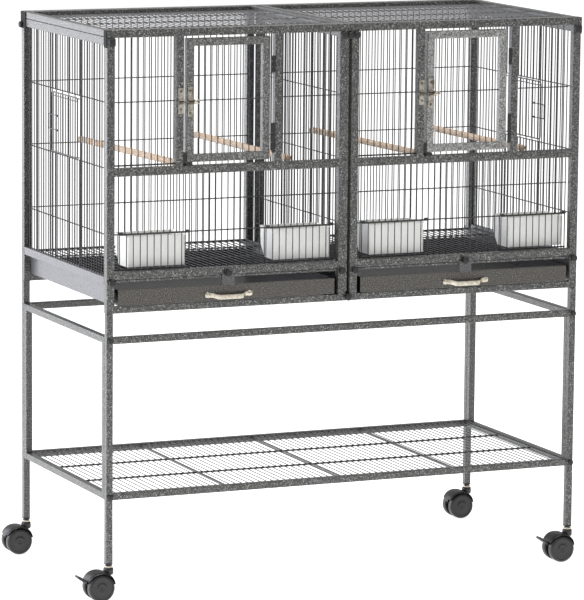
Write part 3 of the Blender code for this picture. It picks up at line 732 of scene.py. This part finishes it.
def door(bay):
    """Tube frame with upright wires and one cross wire."""
    middle = BAYS[bay]
    y0, y1 = -HALF_D, -HALF_D + DOOR_TUBE
    half, t = DOOR_HALF, DOOR_TUBE
    left, right = middle - half, middle + half
    # The doors are drawn in lighter copies of the frame's charcoal, the right one lighter still:
    # painted reflection on the door tubes.
    shape = Shape("soft" if bay == "left" else "pale")
    shape.bar(left, left + t, y0, y1, DOOR_LOW, DOOR_HIGH)
    shape.bar(right - t, right, y0, y1, DOOR_LOW, DOOR_HIGH)
    shape.bar(left + t - 1, right - t + 1, y0 + 0.15, y1 - 0.15, DOOR_LOW + 0.1, DOOR_LOW + t)
    shape.bar(left + t - 1, right - t + 1, y0 + 0.15, y1 - 0.15, DOOR_HIGH - t, DOOR_HIGH - 0.1)
    y = y0 + 7.0
    for x in spread(left + t, right - t, 12.3):
        shape.wire((x, y, DOOR_LOW + t - 1), (x, y, DOOR_HIGH - t + 1))
    z = CROSS_ZS[2]
    shape.wire((left + t - 1, y + CROSS, z), (right - t + 1, y + CROSS, z))
    shape.done("access_door_" + bay, "door_" + bay, ["door_" + bay])


def door_hinge(bay):
    """A long lower and a short upper hinge, each of three barrels on a pin."""
    x = BAYS[bay] + HINGE_X
    shape = Shape("black")
    for low, high in ((807.0, 861.0), (953.0, 983.5)):
        third = (high - low) / 3
        for i in range(3):
            a, b = low + i * third + 0.3, low + (i + 1) * third - 0.3
            profile = ((0.0, 2.7), (0.5, 3.2), (b - a - 0.5, 3.2), (b - a, 2.7))
            shape.turned((x, HINGE_Y, a), "z", profile, 16)
        pin = high - low + 1.6
        profile = ((0, 1.0), (0.4, 1.6), (pin - 0.4, 1.6), (pin, 1.0))
        shape.turned((x, HINGE_Y, low - 0.8), "z", profile, 12)
    shape.done("door_hinge_barrels_" + bay, "cage", ["door_hinge_" + bay])


def door_latch(bay):
    """Back plate with a folded ear, guide lips and two rivets, on the door's free upright."""
    m = BAYS[bay]
    shape = Shape("plate")
    # The plate and its lips are drawn in the darker nickel: painted shade.
    shape.bar(m - 80.5, m - 70.0, PLATE_FRONT, PLATE_BACK, 878.0, 932.0, 0.5)
    for z in (LATCH_Z + LATCH_LIP, LATCH_Z - LATCH_LIP):
        shape.bar(m - 80.0, m - 70.2, -232.6, LIP_BACK, z - 0.9, z + 0.9, 0.4)
    shape.bar(m - 71.4, m - 69.8, -230.5, -225.4, 913.0, 930.5, 0.4)
    for z in (884.0, 925.5):
        shape.turned((m - 76.0, -226.6, z), "y", ((0.0, 2.6), (-1.0, 2.4), (-1.7, 1.2)), 14, "bolt")
    shape.done("latch_plate_" + bay, "door_" + bay, ["door_latch_" + bay])


def door_bolt(bay):
    """Sliding bolt with a finger knob and an eye at its end."""
    m = BAYS[bay]
    z = LATCH_Z
    y = -229.5
    shape = Shape("nickel")
    rod = ((0.0, 1.2), (1.4, 2.0), (33.0, 2.0), (34.0, 1.4))
    shape.turned((m - 97.0, y, z), "x", rod, 14, "bolt")
    loop = []
    for k in range(16):
        t = 2 * math.pi * k / 16
        loop.append((m - 61.6 + 3.0 * math.cos(t), y, z + 3.4 * math.sin(t)))
    shape.path(loop, 1.0, 8, None, True)
    shape.turned((m - 69.0, y - 1.2, z), "y", (
        (0.5, 2.3), (-2.6, 2.2), (-3.4, 3.2), (-5.2, 3.9), (-7.6, 3.9), (-8.8, 3.2), (-9.2, 1.6),
    ), 20)
    shape.done("slide_bolt_" + bay, "bolt_" + bay, ["door_bolt_" + bay])


def latch_keeper(bay):
    """Plate on the jamb with two open lips that the bolt rests between."""
    m = BAYS[bay]
    shape = Shape("plate")
    # The plate and its lips are drawn in the darker nickel: painted shade.
    shape.bar(m - 99.0, m - 88.6, PLATE_FRONT, PLATE_BACK, 884.0, 930.0, 0.5)
    for z in (LATCH_Z + LATCH_LIP, LATCH_Z - LATCH_LIP):
        shape.bar(m - 99.0, m - 88.6, -232.0, LIP_BACK, z - 0.9, z + 0.9, 0.4)
    shape.bar(m - 100.2, m - 98.6, -232.0, -225.4, 899.8, 910.2, 0.5, "bolt")
    for z in (891.5, 924.0):
        shape.turned((m - 93.8, -226.6, z), "y", ((0.0, 2.4), (-1.0, 2.2), (-1.6, 1.0)), 14, "bolt")
    shape.done("bolt_keeper_" + bay, "cage", ["latch_keeper_" + bay])


# ---------------------------------------------------------------- inside

def cup_ring(low, high, front, back, z, corner, inset=0.0):
    """A rounded rectangle at height z."""
    low, high = low + inset, high - inset
    front, back = front + inset, back - inset
    r = max(min(corner - inset, (high - low) * 0.4, (back - front) * 0.4), 0.6)
    ring = []
    for cx, cy, turn in (
        (high - r, back - r, 0), (low + r, back - r, 90),
        (low + r, front + r, 180), (high - r, front + r, 270),
    ):
        for i in range(6):
            t = math.radians(turn + 90 * i / 5)
            ring.append((cx + r * math.cos(t), cy + r * math.sin(t), z))
    return ring


def feeder(name, low, high, node):
    """Open moulded cup: rounded corners, a back that slopes in low down, and a rolled rim."""
    z0, z1 = CUP_LOW, CUP_HIGH
    f, b = CUP_FRONT, CUP_BACK
    levels = (
        (z0, 20.0, 3.0), (z0 + 1.0, 18.5, 4.0), (z0 + 9.0, 11.5, 5.0),
        (z0 + 18.0, 4.0, 5.0), (z0 + 25.0, 1.2, 5.0), (z0 + 30.0, 0.6, 5.0), (z1 - 2.0, 0.0, 5.0),
    )
    shape = Shape("white")
    rings = []
    for z, back, corner in levels:
        rings.append(cup_ring(low + 0.6, high - 0.6, f + 0.2, b - back, z, corner))
    rings.append(cup_ring(low - 1.8, high + 1.8, f, b + 1.6, z1 - 1.8, 6.0))
    rings.append(cup_ring(low - 2.0, high + 2.0, f, b + 2.0, z1 - 0.9, 6.2))
    rings.append(cup_ring(low - 1.6, high + 1.6, f + 0.2, b + 1.6, z1, 6.0))
    rings.append(cup_ring(low + 0.6, high - 0.6, f + 1.6, b - 1.0, z1, 4.0))
    for z, back, corner in levels[::-1]:
        z = max(z, z0 + 2.0)
        rings.append(cup_ring(low + 0.6, high - 0.6, f + 0.2, b - back, z, corner, 1.8))
    shape.loft(rings)
    shape.done(name, "cage", [node])


def feeder_gate(name, low, high, node, body):
    """Wire gate: thick top rod with curled ends, thick bottom rod, wires at 14 mm."""
    y = -211.8
    shape = Shape("wire")
    top, bottom = GATE_HIGH - 1.6, GATE_LOW + 1.5
    rod = bend([
        (low + 8.5, y, top + 3.0), (low + 1.8, y, top + 3.0), (low + 1.8, y, top),
        (high - 1.8, y, top), (high - 1.8, y, top + 3.0), (high - 8.5, y, top + 3.0),
    ], 1.6, 3)
    shape.path(rod, 1.55, 10, "wire")
    shape.path(((low + 0.5, y, bottom), (high - 0.5, y, bottom)), 1.45, 10, "wire")
    count = round((high - low) / 14.0)
    for i in range(count + 1):
        x = low + 1.8 + (high - low - 3.6) * i / count
        shape.wire((x, y, bottom - 0.5), (x, y, top + 0.5), 0.95)
    shape.done(name, body, [node])


def perch(name, front, rear, node):
    """A dowel along the bay, a little thinner near its front third, with eased ends."""
    a, b = np.array((front, -206.0, PERCH_Z)), np.array((rear, 206.0, PERCH_Z))
    along = (b - a) / np.linalg.norm(b - a)
    side = np.cross(along, (0, 0, 1.0))
    up = np.cross(side, along)
    rings = []
    length = np.linalg.norm(b - a)
    for at, scale in (
        (0.0, 0.86), (1.2, 1.0), (length * 0.33, 0.985),
        (length * 0.66, 1.0), (length - 1.2, 1.0), (length, 0.86),
    ):
        ring = []
        for k in range(24):
            t = 2 * math.pi * k / 24
            r = PERCH_R * scale
            ring.append(a + along * at + r * (math.cos(t) * side + math.sin(t) * up))
        rings.append(ring)
    shape = Shape("wood")
    shape.loft(rings)
    shape.done(name, "cage", [node])


# ---------------------------------------------------------------- stand

def corners():
    """Each corner's name, with -1 or 1 for its side and for its front or rear."""
    for front in (True, False):
        for sx, word in ((-1, "left"), (1, "right")):
            yield ("front_" if front else "rear_") + word, sx, -1 if front else 1


def legs():
    for name, sx, sy in corners():
        x = sorted((sx * HALF_W, sx * (HALF_W - BAR)))
        y = sorted((sy * HALF_D, sy * (HALF_D - BAR)))
        shape = Shape()
        shape.bar(x[0], x[1], y[0], y[1], LEG_LOW + 3.0, BASE - GAP)
        mx, my = (x[0] + x[1]) / 2, (y[0] + y[1]) / 2
        plug = LEG_LOW + GAP, LEG_LOW + 3.6
        shape.bar(mx - 6.2, mx + 6.2, my - 6.2, my + 6.2, *plug, 1.2, "black")
        shape.done("leg_tube_" + name, "cage", ["leg_" + name])


def side_frame():
    x0, x1 = -HALF_W, -HALF_W + BAR
    y0, y1 = -HALF_D + BAR + GAP, HALF_D - BAR - GAP
    shape = Shape()
    shape.bar(x0, x1, y0, y0 + BAR, SHELF_LOW, STRETCH_HIGH)
    shape.bar(x0, x1, y1 - BAR, y1, SHELF_LOW, STRETCH_HIGH)
    for low, high in ((SHELF_LOW + 0.1, SHELF_HIGH), (STRETCH_LOW, STRETCH_HIGH - 0.1)):
        shape.bar(x0 + 0.15, x1 - 0.15, y0 + BAR - 1, y1 - BAR + 1, low, high)
    return shape


def stand():
    legs()
    side_frame().done("stand_side_left", "cage", ["side_frame_left"])
    side_frame().mirror_x().done("stand_side_right", "cage", ["side_frame_right"])
    x = HALF_W - BAR - GAP
    y0 = -HALF_D
    shape = Shape()
    shape.bar(-x, x, y0, y0 + BAR, STRETCH_LOW, STRETCH_HIGH)
    shape.done("stand_rail_front", "cage", ["front_stretcher"])
    shape = Shape()
    shape.bar(-x, x, -y0 - BAR, -y0, STRETCH_LOW, STRETCH_HIGH)
    shape.done("stand_rail_rear", "cage", ["rear_stretcher"])


def shelf():
    half = HALF_W - BAR - GAP
    y0 = -HALF_D
    z0, z1 = SHELF_LOW, SHELF_HIGH
    z = z1 - 3.0
    shape = Shape()
    shape.bar(-half, half, y0, y0 + BAR, z0, z1)
    shape.bar(-half, half, -y0 - BAR, -y0, z0, z1)
    for x in (-232.5, 0.0, 232.5):
        shape.bar(x - 2, x + 2, y0 + 11, -y0 - 11, z1 - 8, z1 - 3, 1.0)
    for x in (-half + 1.8, half - 1.8):
        shape.wire((x, y0 + 11, z), (x, -y0 - 11, z), 1.6)
    for x in spread(-half, half):
        shape.wire((x, y0 + 11, z), (x, -y0 - 11, z), 1.0)
    for y in (-70.0, 70.0):
        shape.wire((-half + 0.5, y, z - 2.2), (half - 0.5, y, z - 2.2), 1.9)
    shape.done("shelf_mesh", "cage", ["shelf"])


def thumb_knobs():
    """The black knobs, corner blocks and corner brackets that hold the panels and the stand."""
    shape = Shape("black")
    for side in (-1, 1):
        x0, x1 = sorted((side * 461.0, side * 474.0))
        shape.bar(x0, x1, -HALF_D - 7.5, -HALF_D, 1008.6, 1023.2, 2.2)
        shape.bar(x0, x1, HALF_D, HALF_D + 7.5, 1008.6, 1023.2, 2.2)
        x0, x1 = sorted((side * 474.9, side * 476.6))
        shape.bar(x0, x1, -HALF_D + 0.5, -HALF_D + 15.0, 1006.0, TOP - 0.5, 0.6, "matte")
        shape.bar(x0, x1, HALF_D - 26.0, HALF_D - 0.5, 1006.0, TOP - 0.5, 0.6, "matte")
        knob(shape, (side * 476.0, HALF_D - 9.0, 1013.0), "x" if side > 0 else "-x", 6.0, 7.0)
        knob(shape, (side * 12.6, -HALF_D, 583.0), "-y")
        for facing, y in (("-y", -HALF_D), ("y", HALF_D)):
            knob(shape, (side * 466.8, y, 583.0), facing)
            knob(shape, (side * 12.6, y, 1017.0), facing, 6.6)
            for z in (476.7, 190.2):
                knob(shape, (side * 468.7, y, z), facing, 5.2, 6.0)
    knob(shape, (0.0, -HALF_D + 0.2, 533.0), "-y", 6.4, 8.5)
    shape.done("thumb_knobs", "cage")


# ---------------------------------------------------------------- casters

def arc(cx, cz, radius, start, stop, steps):
    """Points on an arc in the x-z plane, from one angle in degrees to another."""
    made = []
    for i in range(steps + 1):
        t = math.radians(start + (stop - start) * i / steps)
        made.append((cx + radius * math.cos(t), cz + radius * math.sin(t)))
    return made


def caster_wheel(name, x, y):
    """Two wheels on a short axle, with dished faces and a hub."""
    cx, cz = x - WHEEL_TRAIL, WHEEL_R
    shape = Shape("caster")
    shape.turned((cx, y, cz), "y", ((-7.0, 3.5), (7.0, 3.5)), 16)
    for s in (-1, 1):
        r = WHEEL_R
        outline = (
            (6.5, 4.0), (6.5, r - 2.5), (7.3, r - 0.8), (9.0, r), (17.5, r), (19.6, r - 0.9),
            (20.6, r - 3.0), (20.8, r - 4.2), (19.6, r - 5.0), (19.2, 13.0), (19.8, 9.0),
            (20.9, 8.2), (21.0, 5.2), (20.4, 3.6), (20.4, 0.4),
        )
        shape.turned((cx, y, cz), "y", [(s * a, b) for a, b in outline], 40)
        axle_end = ((20.0, 2.6), (20.95, 2.6), (21.0, 1.9))
        shape.turned((cx, y, cz), "y", [(s * a, b) for a, b in axle_end], 16)
    shape.done("caster_twin_wheel_" + name, "wheel_" + name, ["caster_wheel_" + name])


def caster_body(name, x, y):
    """Centre web between the wheels, hood over them, and the swivel neck with its ring."""
    cx, cz = x - WHEEL_TRAIL, WHEEL_R
    shape = Shape("caster")
    profile = arc(cx, cz, 27.3, 5.0, 160.0, 20)
    profile += [
        (cx - 16.0, cz - 2.0), (cx - 4.2, cz - 2.0), (cx - 4.2, cz + 4.2),
        (cx + 4.2, cz + 4.2), (cx + 4.2, cz - 2.0), (cx + 20.0, cz - 2.0),
    ]
    rings = []
    for dy in (-5.6, 5.6):
        rings.append([(px, y + dy, pz) for px, pz in profile])
    shape.loft(rings)
    # The hood: a thick arched band over both wheels, with rounded sides.
    start, stop, steps = 12.0, 152.0, 22
    rings = []
    for i in range(steps + 1):
        t = start + (stop - start) * i / steps
        ease = 1.0 - 0.22 * abs(2 * i / steps - 1) ** 3
        ring = []
        for dy, r in (
            (-19.5, 26.2), (-20.6, 27.0), (-19.0, 28.6), (-14.0, 29.6), (0.0, 30.0),
            (14.0, 29.6), (19.0, 28.6), (20.6, 27.0), (19.5, 26.2), (0.0, 26.6),
        ):
            rad = math.radians(t)
            ring.append((cx + r * math.cos(rad), y + dy * ease, cz + r * math.sin(rad)))
        rings.append(ring)
    shape.loft(rings)
    neck = (
        (47.0, 8.6), (49.5, 9.4), (56.0, 9.4), (58.5, 8.8), (59.3, 7.6), (60.0, 5.4),
        (LEG_LOW, 5.2),
    )
    collar = ((59.6, 6.6), (60.2, 7.4), (62.6, 7.4), (63.4, 6.6))
    shape.turned((x, y, 0.0), "z", neck, 28)
    shape.turned((x, y, 0.0), "z", collar, 24, "nickel")
    shape.done("caster_hood_" + name, "swivel_" + name, ["caster_body_" + name])


def brake_lever(name, x, y):
    """Foot pedal behind the hood, with four grip ribs."""
    cx = x - WHEEL_TRAIL
    shape = Shape("caster")
    profile = [
        (-27.6, 38.6), (-29.0, 36.6), (-31.6, 36.6), (-41.2, 43.6), (-42.8, 45.4),
        (-42.6, 47.4), (-41.0, 48.0), (-33.0, 43.6), (-29.4, 42.6), (-27.8, 41.0),
    ]
    rings = []
    mx, mz = -35.0, 42.0
    for dy, s in ((-10.0, 0.86), (-9.0, 1.0), (9.0, 1.0), (10.0, 0.86)):
        rings.append([(cx + mx + (px - mx) * s, y + dy, mz + (pz - mz) * s) for px, pz in profile])
    shape.loft(rings)
    for i in range(4):
        px, pz = -34.6 - i * 1.9, 44.6 + i * 1.05
        shape.bar(cx + px - 0.45, cx + px + 0.45, y - 8.0, y + 8.0, pz - 0.2, pz + 0.75, 0.3)
    shape.done("brake_pedal_" + name, "brake_" + name, ["brake_lever_" + name])


# ---------------------------------------------------------------- stage

# The camera, in metres and degrees: EYE is measured from the cage's middle.
AZIMUTH, ELEVATION, ROLL = 23.6907, 8.6893, 0.5088
LENS = 245.707
EYE = (-3.094, -7.0222, 1.6674)
FLOOR_HALF, FLOOR_GLOW, ROOM_STRENGTH = 12.0, 0.85, 0.48


def build():
    """Every piece of the cage, in place."""
    front_frame()
    rear_panel()
    side_panels()
    nest_doors()
    roofs()
    divider()
    centre_runner()
    for bay, middle in BAYS.items():
        front_wires(bay)
        floor_grille(bay)
        tray(bay)
        tray_handle(bay)
        door(bay)
        door_hinge(bay)
        door_latch(bay)
        door_bolt(bay)
        latch_keeper(bay)
        for word, gate, cup, (front, rear) in zip("ab", GATES, CUPS, PERCHES):
            tail = bay + "_" + word
            a, b = middle + gate[0], middle + gate[1]
            feeder_gate("wire_gate_" + tail, a, b, "feeder_gate_" + tail, "gate_" + tail)
            a, b = middle + cup[0], middle + cup[1]
            feeder("feeder_cup_" + tail, a, b, "feeder_" + tail)
            perch("perch_dowel_" + tail, middle + front, middle + rear, "perch_" + tail)
    stand()
    shelf()
    thumb_knobs()
    for name, sx, sy in corners():
        x, y = sx * (HALF_W - BAR / 2), sy * (HALF_D - BAR / 2)
        caster_wheel(name, x, y)
        caster_body(name, x, y)
        if sy < 0:
            brake_lever(name, x, y)


def floor():
    """A plain pale floor that glows a little, so that it stays as white as the backdrop."""
    mesh = bpy.data.meshes.new("floor")
    s = FLOOR_HALF
    mesh.from_pydata([(-s, -s, 0), (s, -s, 0), (s, s, 0), (-s, s, 0)], [], [(0, 1, 2, 3)])
    plane = bpy.data.objects.new("floor", mesh)
    plane.location = (0.0, 0.0, -0.0005)
    bpy.context.scene.collection.objects.link(plane)
    made, tree, shader = nodes_of("studio_floor")
    shader.inputs["Base Color"].default_value = (0.80, 0.80, 0.80, 1)
    shader.inputs["Roughness"].default_value = 0.9
    shader.inputs["Specular IOR Level"].default_value = 0.0
    shader.inputs["Emission Color"].default_value = (1, 1, 1, 1)
    shader.inputs["Emission Strength"].default_value = FLOOR_GLOW
    mesh.materials.append(made)


def area_light(name, at, aim, size, power, colour=(1.0, 1.0, 1.0)):
    data = bpy.data.lights.new(name, "AREA")
    data.shape = "RECTANGLE"
    data.size, data.size_y = size
    data.energy = power
    data.color = colour
    lamp = bpy.data.objects.new(name, data)
    lamp.location = at
    lamp.rotation_euler = (Vector(aim) - Vector(at)).to_track_quat("-Z", "Y").to_euler()
    bpy.context.scene.collection.objects.link(lamp)


def lights():
    """A dim white room that the camera sees as plain white, and large soft lamps."""
    world = bpy.data.worlds.new("studio")
    bpy.context.scene.world = world
    world.use_nodes = True
    tree = world.node_tree
    room = tree.nodes["Background"]
    room.inputs["Color"].default_value = (1, 1, 1, 1)
    room.inputs["Strength"].default_value = ROOM_STRENGTH
    backdrop = tree.nodes.new("ShaderNodeBackground")
    backdrop.inputs["Color"].default_value = (1, 1, 1, 1)
    backdrop.inputs["Strength"].default_value = 1.0
    choose = tree.nodes.new("ShaderNodeMixShader")
    rays = tree.nodes.new("ShaderNodeLightPath")
    tree.links.new(rays.outputs["Is Camera Ray"], choose.inputs[0])
    tree.links.new(room.outputs[0], choose.inputs[1])
    tree.links.new(backdrop.outputs[0], choose.inputs[2])
    tree.links.new(choose.outputs[0], tree.nodes["World Output"].inputs["Surface"])
    middle = (0.0, 0.0, 0.7)
    area_light("key_left", (-3.8, 0.6, 1.6), middle, (2.8, 2.8), 105.0, (0.93, 0.94, 1.0))
    area_light("rim_left", (-2.6, 4.2, 1.4), middle, (3.0, 2.6), 55.0, (0.90, 0.91, 1.0))
    area_light("top", (0.0, -0.2, 3.4), (0.0, 0.0, 0.6), (2.6, 2.0), 70.0)


def camera():
    """A long lens from the front left, slightly above and slightly rolled."""
    az, el, roll = (math.radians(a) for a in (AZIMUTH, ELEVATION, ROLL))
    ahead = Vector((math.sin(az) * math.cos(el), math.cos(az) * math.cos(el), -math.sin(el)))
    right = Vector((math.cos(az), -math.sin(az), 0.0))
    up = right.cross(ahead)
    right, up = (
        right * math.cos(roll) + up * math.sin(roll),
        up * math.cos(roll) - right * math.sin(roll),
    )
    data = bpy.data.cameras.new("camera")
    data.sensor_width = 36.0
    data.lens = LENS
    data.clip_end = 100.0
    eye = bpy.data.objects.new("camera", data)
    rows = Matrix((right, up, -ahead)).transposed()
    x, y, z = EYE
    place = Matrix.Translation((x + CAGE_X * MM, y + CAGE_Y * MM, z))
    eye.matrix_world = place @ rows.to_4x4()
    bpy.context.scene.collection.objects.link(eye)
    bpy.context.scene.camera = eye


build()
floor()
lights()
camera()
bpy.context.scene.view_settings.view_transform = "Standard"
